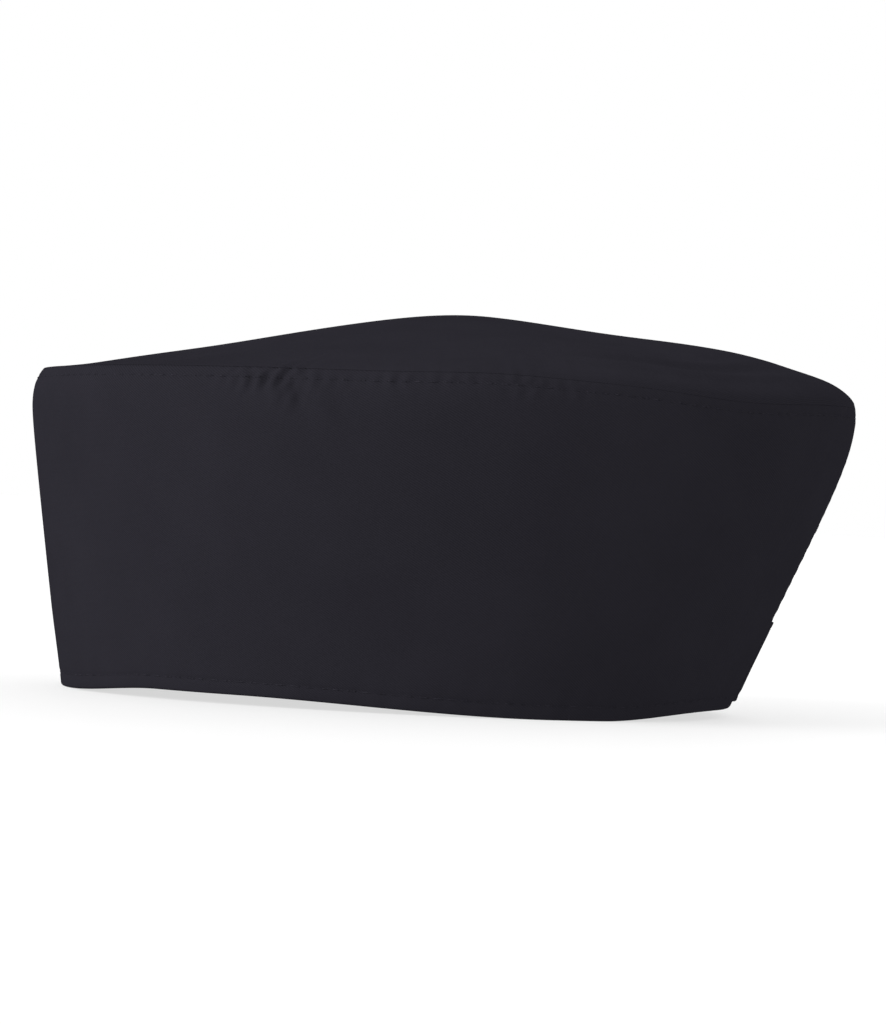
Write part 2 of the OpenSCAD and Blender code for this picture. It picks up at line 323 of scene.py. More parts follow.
def slab(outer, inner, closed=False):
    """Points and faces of a closed sheet between two grids of points. closed joins its ends as well."""
    columns, rows = outer.shape[:2]
    count = columns * rows
    faces = [strip_faces(columns, rows, 0, closed), strip_faces(columns, rows, count, closed, True)]
    steps = columns if closed else columns - 1
    i = np.arange(steps)
    a, b = i * rows, (i + 1) % columns * rows
    faces.append(np.stack([a, a + count, b + count, b], -1))
    a, b = a + rows - 1, b + rows - 1
    faces.append(np.stack([a, b, b + count, a + count], -1))
    if not closed:
        j = np.arange(rows - 1)
        faces.append(np.stack([j, j + 1, j + 1 + count, j + count], -1))
        j = j + (columns - 1) * rows
        faces.append(np.stack([j, j + count, j + 1 + count, j + 1], -1))
    return np.concatenate([outer.reshape(-1, 3), inner.reshape(-1, 3)]), np.concatenate(faces)


def weave_of(along, across):
    """Cloth coordinates in metres for a slab's two skins, from millimetres along and across the cloth."""
    skin = np.stack([along.ravel(), across.ravel()], -1) * MM
    return np.concatenate([skin, skin])


def refined(rows, places, step, reach):
    """rows with extra values at places: reach of them on each side, step apart."""
    extra = [p + k * step for p in places for k in range(-reach, reach + 1)]
    merged = sorted(set(np.round(np.concatenate([rows, extra]), 4)))
    return np.array([v for v in merged if rows[0] <= v <= rows[-1]])


# ---- Materials --------------------------------------------------------------

class Nodes:
    """A short way to write a material's node tree."""

    def __init__(self, name):
        self.material = bpy.data.materials.new(name)
        self.material.use_nodes = True
        self.tree = self.material.node_tree
        self.shader = self.tree.nodes["Principled BSDF"]

    def add(self, kind, **settings):
        node = self.tree.nodes.new("ShaderNode" + kind)
        for key, value in settings.items():
            setattr(node, key, value)
        return node

    def link(self, source, target):
        self.tree.links.new(source, target)

    def math(self, operation, a, b=None):
        node = self.add("Math", operation=operation)
        for socket, value in zip(node.inputs, (a, b)):
            if isinstance(value, (int, float)):
                socket.default_value = value
            elif value is not None:
                self.link(value, socket)
        return node.outputs[0]

    def noise(self, scale, detail, roughness=0.5):
        """Noise in the object's own metres, so a scale of 1000 gives grains about a millimetre wide."""
        node = self.add("TexNoise")
        node.inputs["Scale"].default_value = scale
        node.inputs["Detail"].default_value = detail
        node.inputs["Roughness"].default_value = roughness
        self.link(self.add("TexCoord").outputs["Object"], node.inputs["Vector"])
        return node.outputs["Fac"]

    def ramp(self, value, low, high, start=0.3, end=0.7):
        """A colour from low to high, as value goes from start to end."""
        node = self.add("ValToRGB")
        node.color_ramp.elements[0].color = (*low, 1)
        node.color_ramp.elements[1].color = (*high, 1)
        node.color_ramp.elements[0].position = start
        node.color_ramp.elements[1].position = end
        self.link(value, node.inputs["Fac"])
        return node.outputs["Color"]

    def bump(self, height, strength, distance, after=None):
        """A bumped normal, on top of the one in after."""
        node = self.add("Bump")
        node.inputs["Strength"].default_value = strength
        node.inputs["Distance"].default_value = distance
        self.link(height, node.inputs["Height"])
        if after is not None:
            self.link(after, node.inputs["Normal"])
        return node.outputs["Normal"]

    def weave(self):
        """The two cloth coordinates, in millimetres."""
        place = self.add("UVMap", uv_map="weave")
        split = self.add("SeparateXYZ")
        self.link(place.outputs["UV"], split.inputs[0])
        return [self.math("MULTIPLY", split.outputs[axis], 1000.0) for axis in ("X", "Y")]

    def wave(self, value, pitch):
        """0 to 1, once in each pitch of value."""
        swing = self.math("SINE", self.math("MULTIPLY", value, 2 * math.pi / pitch))
        return self.math("ADD", self.math("MULTIPLY", swing, 0.5), 0.5)

    def surface(self, roughness, specular, sheen=0.0, sheen_roughness=0.5, tint=(1, 1, 1)):
        self.shader.inputs["Roughness"].default_value = roughness
        self.shader.inputs["Specular IOR Level"].default_value = specular
        self.shader.inputs["Sheen Weight"].default_value = sheen
        self.shader.inputs["Sheen Roughness"].default_value = sheen_roughness
        self.shader.inputs["Sheen Tint"].default_value = (*tint, 1)


def twill(name, dark, light, pitch=0.55, depth=0.00011):
    """Fine diagonal twill, its ribs about pitch millimetres apart, with a slightly uneven dye and fluff."""
    n = Nodes(name)
    across, up = n.weave()
    wander = n.math("MULTIPLY", n.noise(900, 1.0), 0.22)
    slant = n.math("ADD", n.math("ADD", across, n.math("MULTIPLY", up, 1.6)), wander)
    rib = n.wave(slant, pitch * 1.9)
    yarn = n.wave(up, pitch * 0.62)
    height = n.math("ADD", n.math("MULTIPLY", rib, 0.75), n.math("MULTIPLY", yarn, 0.25))
    patch = n.noise(38, 3.0, 0.6)
    fluff = n.noise(2600, 2.0, 0.7)
    mixed = n.math("ADD", n.math("MULTIPLY", height, 0.34), n.math("MULTIPLY", fluff, 0.42))
    mixed = n.math("ADD", mixed, n.math("MULTIPLY", patch, 0.22))
    n.link(n.ramp(mixed, dark, light, 0.15, 0.85), n.shader.inputs["Base Color"])
    rough = n.math("ADD", n.math("MULTIPLY", height, -0.12), 0.86)
    n.link(rough, n.shader.inputs["Roughness"])
    weave_bump = n.bump(height, 0.55, depth)
    n.link(n.bump(n.noise(420, 2.0), 0.12, 0.0004, weave_bump), n.shader.inputs["Normal"])
    n.surface(0.85, 0.0)
    return n.material


def thread_material():
    """Sewing thread in the cloth's colour, uneven along its length."""
    n = Nodes("thread")
    colour = n.ramp(n.noise(1500, 1.0), (0.0112, 0.0107, 0.0139), (0.0245, 0.0233, 0.0302))
    n.link(colour, n.shader.inputs["Base Color"])
    n.link(n.bump(n.noise(4200, 0.0), 0.5, 0.00008), n.shader.inputs["Normal"])
    n.surface(0.8, 0.0)
    return n.material


def brushed(name, dark, light, depth=0.0003, scale=1300):
    """Soft cloth with a nap, such as brushed cotton or loop pile."""
    n = Nodes(name)
    nap = n.noise(scale, 3.0, 0.65)
    n.link(n.ramp(nap, dark, light), n.shader.inputs["Base Color"])
    n.link(n.bump(nap, 0.8, depth, n.bump(n.noise(180, 2.0), 0.2, 0.001)), n.shader.inputs["Normal"])
    n.surface(0.95, 0.0, 0.012, 0.5, (0.8, 0.8, 0.95))
    return n.material


def woven_tape(name, dark, light, pitch=0.7, bump=0.00015):
    """Plain-woven tape with ribs across it and firm edges."""
    n = Nodes(name)
    across, up = n.weave()
    rib = n.wave(across, pitch)
    yarn = n.wave(up, pitch * 0.5)
    height = n.math("ADD", n.math("MULTIPLY", rib, 0.6), n.math("MULTIPLY", yarn, 0.4))
    mixed = n.math("ADD", n.math("MULTIPLY", height, 0.6), n.math("MULTIPLY", n.noise(300, 3.0), 0.4))
    n.link(n.ramp(mixed, dark, light), n.shader.inputs["Base Color"])
    n.link(n.bump(height, 0.6, bump), n.shader.inputs["Normal"])
    n.surface(0.75, 0.06, 0.01)
    return n.material


NAVY_DARK, NAVY_LIGHT = (0.0101, 0.0096, 0.0125), (0.0222, 0.0211, 0.0274)

MATERIALS = {
    "twill": twill("twill", NAVY_DARK, NAVY_LIGHT),
    "lining": twill("lining", NAVY_DARK, NAVY_LIGHT),
    "thread": thread_material(),
    "sweatband": brushed("sweatband", (0.009, 0.0087, 0.0112), (0.025, 0.024, 0.030)),
    "binding": woven_tape("binding", (0.008, 0.0077, 0.010), (0.021, 0.020, 0.026)),
    "interlining": brushed("interlining", (0.5, 0.5, 0.46), (0.7, 0.7, 0.66), 0.0001, 700),
    "loop": brushed("loop", (0.005, 0.0048, 0.0062), (0.019, 0.018, 0.0235), 0.0006, 900),
    "hook": woven_tape("hook", (0.005, 0.005, 0.006), (0.014, 0.014, 0.016), 1.2),
    "label": woven_tape("label", (0.62, 0.62, 0.60), (0.78, 0.78, 0.76), 0.35, 0.00006),
}


def dress(piece, material):
    """Give a piece its material."""
    piece.data.materials.append(MATERIALS[material])
    return piece


# ---- Band and crown ---------------------------------------------------------

BAND_COLUMNS = 941
FOLD_STEPS = 4


def folded_sheet(shares, heights, far_side, radius):
    """Grid of one skin of a cloth that turns over a rounded edge at the hem and at the slit.

    The edge's middle lies FOLD_RADIUS under the outer face. radius is this skin's own rounding, and far_side
    is 1 on the outer cloth and -1 on the lining. Returns the grid, its angles and its heights.
    """
    turn = np.linspace(math.pi / 2, 0, FOLD_STEPS + 1)[:-1]
    row_z = np.concatenate([FOLD_RADIUS - radius * np.sin(turn), np.maximum(heights, FOLD_RADIUS)])
    row_cos = np.concatenate([np.cos(turn), np.ones(len(heights))])
    column_w = np.concatenate([np.zeros(len(turn)), shares, np.ones(len(turn))])
    column_cos = np.concatenate([np.cos(turn), np.ones(len(shares)), np.cos(turn[::-1])])
    column_sin = np.concatenate([-np.sin(turn), np.zeros(len(shares)), np.sin(turn[::-1])])
    w, z = np.meshgrid(column_w, row_z, indexing="ij")
    t = z / BAND_HEIGHT
    cos_c, cos_r = np.meshgrid(column_cos, row_cos, indexing="ij")
    sin_c = np.meshgrid(column_sin, row_z, indexing="ij")[0]
    clear = 0.02
    room = np.minimum(radius, np.maximum(clear, end_gap(t) * MM_PER_RADIAN - clear))
    u = round_band(w, t) + sin_c * cos_r * room / MM_PER_RADIAN
    depth = -FOLD_RADIUS + far_side * radius * cos_c * cos_r
    return band(u, t, depth), u, z


def build_band():
    """Outer cloth, lining and the interlining between them."""
    shares = np.linspace(0, 1, BAND_COLUMNS)
    wall, shoulder = np.linspace(FOLD_RADIUS, 79, 18), np.linspace(81, BAND_HEIGHT, 18)
    heights = refined(np.concatenate([wall, shoulder]), [HEM_STITCH_Z], 0.5, 2)
    for name, node, far_side, slot in (("band_outer_cloth", "outer_band", 1, "outer_twill"),
                                       ("band_lining_cloth", "band_facing", -1, "lining_twill")):
        seen, u, z = folded_sheet(shares, heights, far_side, FOLD_RADIUS)
        hidden, _, _ = folded_sheet(shares, heights, far_side, FOLD_RADIUS - CLOTH)
        points, faces = slab(seen, hidden) if far_side == 1 else slab(hidden, seen)
        piece = add_mesh(name, points, faces, weave_of(u * BAND_WEAVE, z), [node])
        dress(piece, "twill" if far_side == 1 else "lining")
    w, z = np.meshgrid(shares[5:-5], heights[2:-1], indexing="ij")
    t = z / BAND_HEIGHT
    u = round_band(w, t)
    points, faces = slab(band(u, t, INTERLINING[1]), band(u, t, INTERLINING[0]))
    weave = weave_of(u * BAND_WEAVE, z)
    piece = add_mesh("band_stiffening", points, faces, weave, ["band_interlining"])
    dress(piece, "interlining")


def disc(rings):
    """Quads of a round grid with no pole: ring k has 8k points. Returns angles, ring numbers and quads."""
    i, j = np.meshgrid(np.arange(-rings, rings + 1), np.arange(-rings, rings + 1), indexing="ij")
    k = np.maximum(abs(i), abs(j))
    safe = np.maximum(k, 1)
    eighth = math.pi / 4
    beside = abs(i) >= abs(j)
    u = np.select([beside & (i > 0), ~beside & (j > 0), beside & (i < 0)],
                  [eighth * j / safe, math.pi / 2 - eighth * i / safe, math.pi - eighth * j / safe],
                  -math.pi / 2 + eighth * i / safe)
    side = 2 * rings + 1
    a, b = np.meshgrid(np.arange(side - 1), np.arange(side - 1), indexing="ij")
    first = a * side + b
    quads = np.stack([first, first + side, first + side + 1, first + 1], -1).reshape(-1, 4)
    return u.ravel(), k.ravel(), quads


def build_crown():
    """One panel: domed top, then its seam allowance turned down inside the band."""
    rings = 78
    u, k, quads = disc(rings)
    share = k / rings
    r = 1 - (1 - share) ** 1.25
    top = crown(u, r)
    inset = -ALLOWANCE[0] * smooth((r - 0.8) / 0.2)
    under = crown(u, r, 0.3 + inset[:, None], 0.55)
    edge = np.nonzero(k == rings)[0]
    edge = edge[np.argsort(u[edge])]
    rows = np.linspace(1, 1 - ALLOWANCE_HEIGHT / BAND_HEIGHT, 7)[1:]
    skirt_drop = [(1 - t) * BAND_HEIGHT for t in rows]
    skirt_out = [band(u[edge], np.full(len(edge), t), ALLOWANCE[1]) for t in rows]
    skirt_in = [band(u[edge], np.full(len(edge), t), ALLOWANCE[0]) for t in rows]
    turn = band(u[edge], np.ones(len(edge)), ALLOWANCE[1]) + [0, 0, 0.02]
    count = len(top)
    blocks = [top, under, turn] + skirt_out + skirt_in[::-1]
    points = np.concatenate(blocks)
    faces = [quads, quads[:, ::-1] + count]
    skirt_rows = 1 + 2 * len(rows)
    loops = [2 * count + i * len(edge) + np.arange(len(edge)) for i in range(skirt_rows)]
    loops = [edge] + loops + [edge + count]
    for low, high in zip(loops[1:], loops[:-1]):
        faces.append(np.stack([low, np.roll(low, -1), np.roll(high, -1), high], -1))
    drops = [0] + skirt_drop + skirt_drop[::-1]
    dome, skirt = unrolled(u, r), [unrolled(u[edge], np.ones(len(edge)), drop) for drop in drops]
    flat = np.concatenate([dome, dome] + skirt)
    piece = add_mesh("crown_cloth", points, np.concatenate(faces), flat, ["crown_panel"])
    dress(piece, "twill")


# ---- Cloth trim -------------------------------------------------------------

def build_sweatband():
    """Soft band sewn along both edges, which swells a little between its two rows of stitches."""
    w, share = np.meshgrid(np.linspace(0.0125, 0.9875, 301), np.linspace(0, 1, 23), indexing="ij")
    z = SWEATBAND_Z[0] + (SWEATBAND_Z[1] - SWEATBAND_Z[0]) * share
    t = z / BAND_HEIGHT
    u = round_band(w, t)
    edge = np.minimum(share, 1 - share)
    swell = 0.75 * smooth(edge / 0.2) + 0.45 * smooth(edge / 0.03)
    creases = 0.10 * ripple(u, z, HEM_WAVES) * smooth(edge / 0.1)
    points, faces = slab(band(u, t, SWEATBAND[1]), band(u, t, SWEATBAND[1] - swell + creases))
    weave = weave_of(u * INNER_WEAVE, z)
    piece = add_mesh("sweatband_cloth", points, faces, weave, ["sweatband"])
    dress(piece, "sweatband")


def build_binding():
    """Woven tape over the raw edges of the crown seam."""
    columns = 360
    angles = BACK + np.arange(columns) / columns * 2 * math.pi
    u, t = np.meshgrid(angles, np.linspace(*BINDING_SHARES, 9), indexing="ij")
    lift = 0.12 * ripple(u, 0, RIM_WAVES)
    points, faces = slab(band(u, t, BINDING[1]), band(u, t, BINDING[0] + lift), closed=True)
    weave = weave_of(u * TOP_WEAVE, t * BAND_HEIGHT)
    piece = add_mesh("seam_binding_tape", points, faces, weave, ["crown_seam_binding"])
    dress(piece, "binding")


# ---- Stitches ---------------------------------------------------------------

rng = np.random.RandomState(7)  # every row of stitches draws from it in turn


def tubes(name, centres, normals, radius, material, nodes, body="hat", sides=6):
    """Many short tubes in one mesh. centres and normals are (tube, point, 3)."""
    count, length = centres.shape[:2]
    along = np.gradient(centres, axis=1)
    along /= np.linalg.norm(along, axis=-1, keepdims=True)
    out = normals - (normals * along).sum(-1, keepdims=True) * along
    out /= np.linalg.norm(out, axis=-1, keepdims=True)
    side = np.cross(along, out)
    angles = np.arange(sides) * 2 * math.pi / sides
    ring = (centres[:, :, None] + radius * (np.cos(angles)[:, None] * out[:, :, None]
                                            + np.sin(angles)[:, None] * side[:, :, None]))
    points = ring.reshape(-1, 3)
    tube, step, corner = np.meshgrid(np.arange(count), np.arange(length - 1), np.arange(sides), indexing="ij")
    first = (tube * length + step) * sides
    a, b = first + corner, first + (corner + 1) % sides
    faces = np.stack([a, a + sides, b + sides, b], -1).reshape(-1, 4).tolist()
    starts = np.arange(count) * length * sides
    for start in starts.tolist():
        faces.append([start + i for i in range(sides)])
        last = start + (length - 1) * sides
        faces.append([last + i for i in reversed(range(sides))])
    piece = add_mesh(name, points, faces, None, nodes, body)
    return dress(piece, material)


def stitches(path, length, pitch=STITCH_PITCH, gap=0.75, radius=THREAD, jitter=0.12):
    """Centres and outward normals of a row of stitches, which dip into the cloth at both ends.

    path(s) gives points and normals at s millimetres along the row.
    """
    count = max(1, int(round(length / pitch)))
    step = length / count
    start = np.arange(count) * step + gap / 2 + rng.uniform(-jitter, jitter, count)
    run = step - gap + rng.uniform(-jitter, jitter, count)
    share = np.linspace(0, 1, 9)
    s = start[:, None] + run[:, None] * share
    points, normals = path(s)
    arch = radius * (-1.5 + 1.65 * np.sin(math.pi * share) ** 0.35)
    sideways = np.cross(normals, np.gradient(points, axis=1))
    sideways /= np.linalg.norm(sideways, axis=-1, keepdims=True)
    lean = rng.uniform(-0.12, 0.12, (count, 1, 1)) * (share[None, :, None] - 0.5) * 2
    return points + normals * arch[None, :, None] + sideways * lean, normals


def outward(u, t, sign=1.0):
    """Unit normal of the band's wall, outwards for sign 1."""
    e = 0.004
    along = band(u + e, t, 0) - band(u - e, t, 0)
    up = band(u, t + e, 0) - band(u, t - e, 0)
    n = np.cross(along, up)
    return sign * n / np.linalg.norm(n, axis=-1, keepdims=True)


def level_row(z, depth, u_start, u_end, sign=1.0, **how):
    """A row of stitches round the band at one height."""
    t = z / BAND_HEIGHT
    u = np.linspace(u_start, u_end, 900)
    points = band(u, np.full_like(u, t), depth)
    length = np.concatenate([[0], np.cumsum(np.linalg.norm(np.diff(points, axis=0), axis=1))])

    def path(s):
        at = np.interp(s, length, u)
        share = np.full_like(at, t)
        return band(at, share, depth), outward(at, share, sign)

    return stitches(path, length[-1], **how)


def upright_row(angle_at, z_start, z_end, depth, **how):
    """A row of stitches up the band. angle_at(z) is the row's angle."""

    def path(s):
        z = z_start + s
        at = angle_at(z)
        return band(at, z / BAND_HEIGHT, depth), outward(at, z / BAND_HEIGHT)

    return stitches(path, z_end - z_start, **how)


def sew(name, node, rows, body="hat", radius=THREAD):
    """One piece from several rows of stitches."""
    centres = np.concatenate([row[0] for row in rows])
    normals = np.concatenate([row[1] for row in rows])
    return tubes(name, centres, normals, radius, "thread", [node], body)


def bar(u_range, z_range, depth, count):
    """A bartack: long stitches close above each other."""
    return [level_row(z, depth, *u_range, pitch=99, gap=0.1, jitter=0.03, radius=BAR_THREAD * 1.6)
            for z in np.linspace(*z_range, count)]


SWEATBAND_INSET = 1.6  # from the sweatband's edges to its rows
BINDING_ROW_DROP = 10.6  # from the crown seam
BACK_ROW_ANGLE, SLIT_ROW_ANGLE = 0.028, 0.045  # beside the back seam, and beside the slit's edges
TACK_ANGLE = 0.043  # half the width of the bartack above the slit
BACK_ROW_Z = (SLIT_HEIGHT + 5, 89)
SLIT_ROW_Z, LAPPED_ROW_Z = (5.5, 55), (29, 55)  # the lapped side's row starts above the strap
ROW_SINK = -0.12  # depth of the rows at the back


def build_stitches():
    """Every row of sewing on the band, the sweatband and the binding."""
    near_hem, clear = 0.04, 0.03
    gap = end_gap(near_hem) + clear
    around = (BACK + gap, BACK + 2 * math.pi - gap)
    sew("hem_stitches", "hem_topstitch", [level_row(HEM_STITCH_Z, 0, *around)])
    ring = (BACK, BACK + 2 * math.pi)
    sew("crown_seam_stitches", "crown_topstitch", [level_row(BAND_HEIGHT - SEAM_ROW_DROP, 0, *ring)])
    inside = SWEATBAND[1] - 1.0
    narrower = (BACK + gap + 0.06, BACK + 2 * math.pi - gap - 0.06)
    sew("sweatband_stitches", "sweatband_stitch",
        [level_row(z, inside, *narrower, sign=-1.0, pitch=INNER_PITCH)
         for z in (SWEATBAND_Z[0] + SWEATBAND_INSET, SWEATBAND_Z[1] - SWEATBAND_INSET)])
    sew("binding_stitches", "binding_stitch",
        [level_row(BAND_HEIGHT - BINDING_ROW_DROP, BINDING[0], *ring, sign=-1.0, pitch=INNER_PITCH)])
    sew("back_seam_stitches", "back_seam_topstitch",
        [upright_row(lambda z, side=side: BACK + side * BACK_ROW_ANGLE + 0 * z, *BACK_ROW_Z, ROW_SINK)
         for side in (-1, 1)])
    sew("slit_stitches", "slit_topstitch",
        [upright_row(lambda z: BACK + end_gap(z / BAND_HEIGHT) + SLIT_ROW_ANGLE, *LAPPED_ROW_Z, ROW_SINK),
         upright_row(lambda z: BACK - end_gap(z / BAND_HEIGHT) - SLIT_ROW_ANGLE, *SLIT_ROW_Z, ROW_SINK)])
    tack = (BACK - TACK_ANGLE, BACK + TACK_ANGLE)
    sew("slit_top_bartack", "slit_bartack", bar(tack, (SLIT_HEIGHT + 0.9, SLIT_HEIGHT + 3.1), 0.1, 8),
        radius=BAR_THREAD)


# ---- Closure and labels -----------------------------------------------------

STRAP_Z = (2.0, 28.0)
STRAP_HALF = (STRAP_Z[1] - STRAP_Z[0]) / 2
STRAP_ROOT = BACK - SLIT_WIDTH / 2 / MM_PER_RADIAN + math.radians(0.3)
STRAP_SPAN = math.radians(42)
STRAP_CORNER = 9.0  # radius of the two corners at its free end
STRAP_LEVELS = (-1.45, 0.3, 2.32)  # depths of its underside: in the slit, on the band and on the tapes
STRAP_THICK = 0.95
STRAP_SEAM = 0.49  # its two layers meet at this height
EDGE_ROW_V = 0.81  # its edge rows, as a share of half its width
EDGE_PITCH = 3.0
ROOT_TACK_U, ROOT_TACK_Z = (BACK - 0.071, BACK - 0.047), (8, 21)
LOOP_U = (BACK + math.radians(13), BACK + math.radians(54))
LOOP_Z = (5.0, 25.0)
LOOP_DEPTH = (0.05, 0.95)
LOOP_ROW_INSET = 1.4  # from the loop tape's long edges to its rows
HOOK_U = (BACK + math.radians(15.5), STRAP_ROOT + STRAP_SPAN - math.radians(2))
HOOK_Z = (8.5, 21.5)
HOOK_DEPTH = (1.28, 2.26)
HOOK_BOX_S, HOOK_BOX_V = (0.47, 0.88), 0.42  # the box of stitches that holds the hook tape
HOOK_COLUMNS, HOOK_ROWS = 26, 10


def strap_under(u):
    """Depth of the strap's underside, which steps up twice: onto the band, and onto the tapes."""
    first = smooth((u - STRAP_ROOT) / math.radians(2.7))
    second = smooth((u - BACK - math.radians(5.5)) / math.radians(7))
    return (STRAP_LEVELS[0] + (STRAP_LEVELS[1] - STRAP_LEVELS[0]) * first
            + (STRAP_LEVELS[2] - STRAP_LEVELS[1]) * second)


def strap_point(s, v, rise):
    """Point of the strap at share s of its length, v from -1 to 1 across it, rise above its underside."""
    s, v = np.broadcast_arrays(np.asarray(s, float), np.asarray(v, float))
    u_flat = STRAP_ROOT + s * STRAP_SPAN
    left = (1 - s) * STRAP_SPAN * MM_PER_RADIAN
    into = np.clip(1 - left / STRAP_CORNER, 0, 1)
    half = STRAP_HALF - STRAP_CORNER * (1 - np.sqrt(1 - into * into))
    t = (sum(STRAP_Z) / 2 + v * half) / BAND_HEIGHT
    start = BACK - end_gap(t) - 0.012
    u = u_flat + (1 - s) ** 2 * (start - STRAP_ROOT)
    return band(u, t, strap_under(u_flat) + rise)


def strap_skin(grid_s, grid_v, inner, outer):
    """Both skins of a strap layer, rounded along its edges."""
    edge = 1 - np.abs(grid_v)
    round_off = 0.28 * (1 - np.sqrt(np.clip(1 - (1 - np.clip(edge / 0.05, 0, 1)) ** 2, 0, 1)))
    groove = 0.12 * hill(edge, 0.19, 0.05)
    return (strap_point(grid_s, grid_v, outer - round_off - groove * (outer > 0.6)),
            strap_point(grid_s, grid_v, inner + round_off * (inner < 0.2)))


def build_strap():
    """Two layers of cloth, with columns that close up towards the rounded end."""
    rounded = 0.18
    s_values = np.concatenate([np.linspace(0, 1 - rounded, 74),
                               1 - rounded * np.cos(np.linspace(0, math.pi / 2, 19))[1:]])
    s_values[-1] = 0.9985
    v_values = np.concatenate([[-1, -0.985, -0.965], np.linspace(-0.94, 0.94, 33), [0.965, 0.985, 1]])
    s, v = np.meshgrid(s_values, v_values, indexing="ij")
    length = STRAP_SPAN * MM_PER_RADIAN
    for name, node, low, high, slot, cloth in (
            ("strap_top_cloth", "strap_outer", STRAP_SEAM + 0.01, STRAP_THICK, "outer_twill", "twill"),
            ("strap_under_cloth", "strap_facing", 0.0, STRAP_SEAM - 0.01, "lining_twill", "lining")):
        outer, inner = strap_skin(s, v, low, high)
        points, faces = slab(outer, inner)
        piece = add_mesh(name, points, faces, weave_of(s * length, v * STRAP_HALF), [node], None)
        bend(dress(piece, cloth))


def bend(piece):
    """Bakes the piece's placement into its mesh; the strap's bend over its first centimetre, beside the slit,
    is already in strap_point.
    """
    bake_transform(piece)


def strap_row(v, s_start, s_end, rise, **how):
    """A row of stitches along the strap."""
    s = np.linspace(s_start, s_end, 200)
    points = strap_point(s, v, rise)
    length = np.concatenate([[0], np.cumsum(np.linalg.norm(np.diff(points, axis=0), axis=1))])

    def path(distance):
        at = np.interp(distance, length, s)
        return strap_point(at, v, rise), strap_normal(at, v)

    return stitches(path, length[-1], **how)


def strap_normal(s, v):
    """Unit normal of the strap, away from the band."""
    e = 0.006
    along = strap_point(s + e, v, 0) - strap_point(s - e, v, 0)
    up = strap_point(s, v + e, 0) - strap_point(s, v - e, 0)
    n = np.cross(along, up)
    return n / np.linalg.norm(n, axis=-1, keepdims=True)


def strap_cross_row(s_at, v_start, v_end, rise, **how):
    """A row of stitches across the strap."""

    def path(distance):
        v = v_start + distance / STRAP_HALF
        return strap_point(s_at, v, rise), strap_normal(np.full_like(v, s_at), v)

    return stitches(path, (v_end - v_start) * STRAP_HALF, **how)


def build_strap_trim():
    """Rows along the strap's edges, in its grooves, and a box of stitches that holds the hook tape."""
    groove = STRAP_THICK - 0.1
    edge_rows = [strap_row(v, 0.06, 0.9, groove, pitch=EDGE_PITCH) for v in (-EDGE_ROW_V, EDGE_ROW_V)]
    edge_rows.append(strap_cross_row(0.945, -0.55, 0.55, groove, pitch=EDGE_PITCH))
    bend(sew("strap_edge_stitches", "strap_edge_stitch", edge_rows, None))
    box = [strap_row(v, *HOOK_BOX_S, STRAP_THICK, pitch=SMALL_PITCH) for v in (-HOOK_BOX_V, HOOK_BOX_V)]
    box += [strap_cross_row(s, -HOOK_BOX_V, HOOK_BOX_V, STRAP_THICK, pitch=SMALL_PITCH) for s in HOOK_BOX_S]
    sew("hook_tape_stitches", "hook_tape_stitch", box, "strap")


def build_tapes():
    """The loop tape, its box of stitches, and the two bartacks at the strap's root."""
    u, z = np.meshgrid(np.linspace(*LOOP_U, 60), np.linspace(*LOOP_Z, 22), indexing="ij")
    t = z / BAND_HEIGHT
    points, faces = slab(band(u, t, LOOP_DEPTH[1]), band(u, t, LOOP_DEPTH[0]))
    weave = weave_of(u * BAND_WEAVE, z)
    dress(add_mesh("loop_tape_pile", points, faces, weave, ["loop_tape"]), "loop")
    inset, top = math.radians(1), LOOP_DEPTH[1] - 0.05
    ends = (LOOP_U[0] + inset, LOOP_U[1] - inset)
    levels = (LOOP_Z[0] + LOOP_ROW_INSET, LOOP_Z[1] - LOOP_ROW_INSET)
    rows = [level_row(z, top, *ends, pitch=SMALL_PITCH) for z in levels]
    rows += [upright_row(lambda z, u=u: u + 0 * z, *levels, top, pitch=SMALL_PITCH) for u in ends]
    sew("loop_tape_stitches", "loop_tape_stitch", rows)
    tacks = [bar(ROOT_TACK_U, (z, z + 1.3), 0.08, 6) for z in ROOT_TACK_Z]
    sew("strap_root_bartacks", "strap_bartacks", tacks[0] + tacks[1], radius=BAR_THREAD)


def build_hook_tape():
    """Backing tape with rows of small hooks that point at the loop tape."""
    u, z = np.meshgrid(np.linspace(*HOOK_U, 40), np.linspace(*HOOK_Z, 12), indexing="ij")
    t = z / BAND_HEIGHT
    base = HOOK_DEPTH[1] - 0.35
    points, faces = slab(band(u, t, HOOK_DEPTH[1]), band(u, t, base))
    weave = weave_of(u * MM_PER_RADIAN, z)
    dress(add_mesh("hook_tape_back", points, faces, weave, ["hook_tape"], "strap"), "hook")
    u_inset, z_inset = 0.012, 0.9
    column_u = np.linspace(HOOK_U[0] + u_inset, HOOK_U[1] - u_inset, HOOK_COLUMNS)
    row_z = np.linspace(HOOK_Z[0] + z_inset, HOOK_Z[1] - z_inset, HOOK_ROWS)
    hook_u, hook_z = np.meshgrid(column_u, row_z, indexing="ij")
    curl = np.linspace(0, 1, 6)[None, :]
    lean = 0.35 * np.sin(curl * 4.2) / MM_PER_RADIAN
    sink = base + 0.05 - 0.62 * np.sin(np.minimum(curl * 2.3, math.pi / 2 + 0.35 * curl))
    hook_u = hook_u.ravel()[:, None] + lean
    hook_t = (hook_z.ravel()[:, None] + 0 * curl) / BAND_HEIGHT
    centres = band(hook_u, hook_t, sink)
    normals = outward(hook_u, hook_t) + np.array([0, 0, 0.5])
    tubes("hook_tape_hooks", centres, normals, 0.1, "hook", [], "strap", 5)


LABEL_TOP = BAND_HEIGHT - 13.5
LABEL_U = (BACK + math.radians(18), BACK + math.radians(33))
LABEL_DEPTH = LINING[0] - 0.25
LABEL_THICK = 0.3


